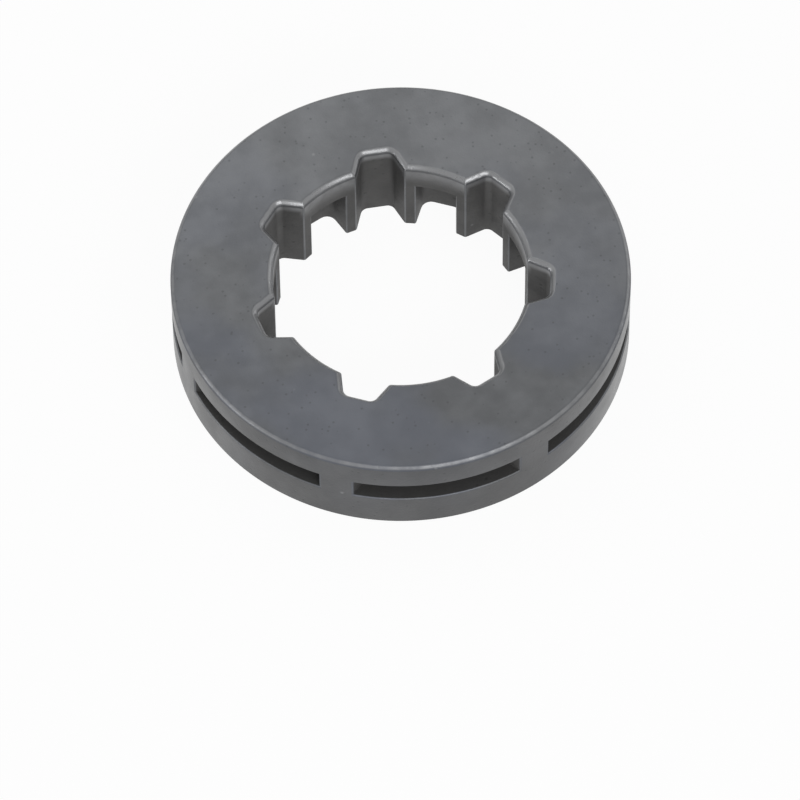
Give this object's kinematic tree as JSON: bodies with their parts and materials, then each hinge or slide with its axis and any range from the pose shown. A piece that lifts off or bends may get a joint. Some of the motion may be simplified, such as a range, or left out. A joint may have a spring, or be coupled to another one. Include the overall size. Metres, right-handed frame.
{
  "type": "chainsaw rim sprocket",
  "caption": "Round steel chain rim with a splined bore that floats on a clutch drum hub, and drive teeth between its side plates that carry the saw chain's drive links.",
  "frame": {"origin": "on the bore's axis, in the plane of the open lower face", "axes": "+Z along the bore's axis towards the closed upper face; +Y through the middle of one spline groove and the tooth outside it"},
  "size_m": [0.036, 0.036, 0.008],
  "materials": {
    "dark_steel": "dark satin heat-treated steel, slightly mottled, with paler worn edges"
  },
  "bodies": {
    "root": {"rim_sprocket": "dark_steel"}
  },
  "joints": []
}
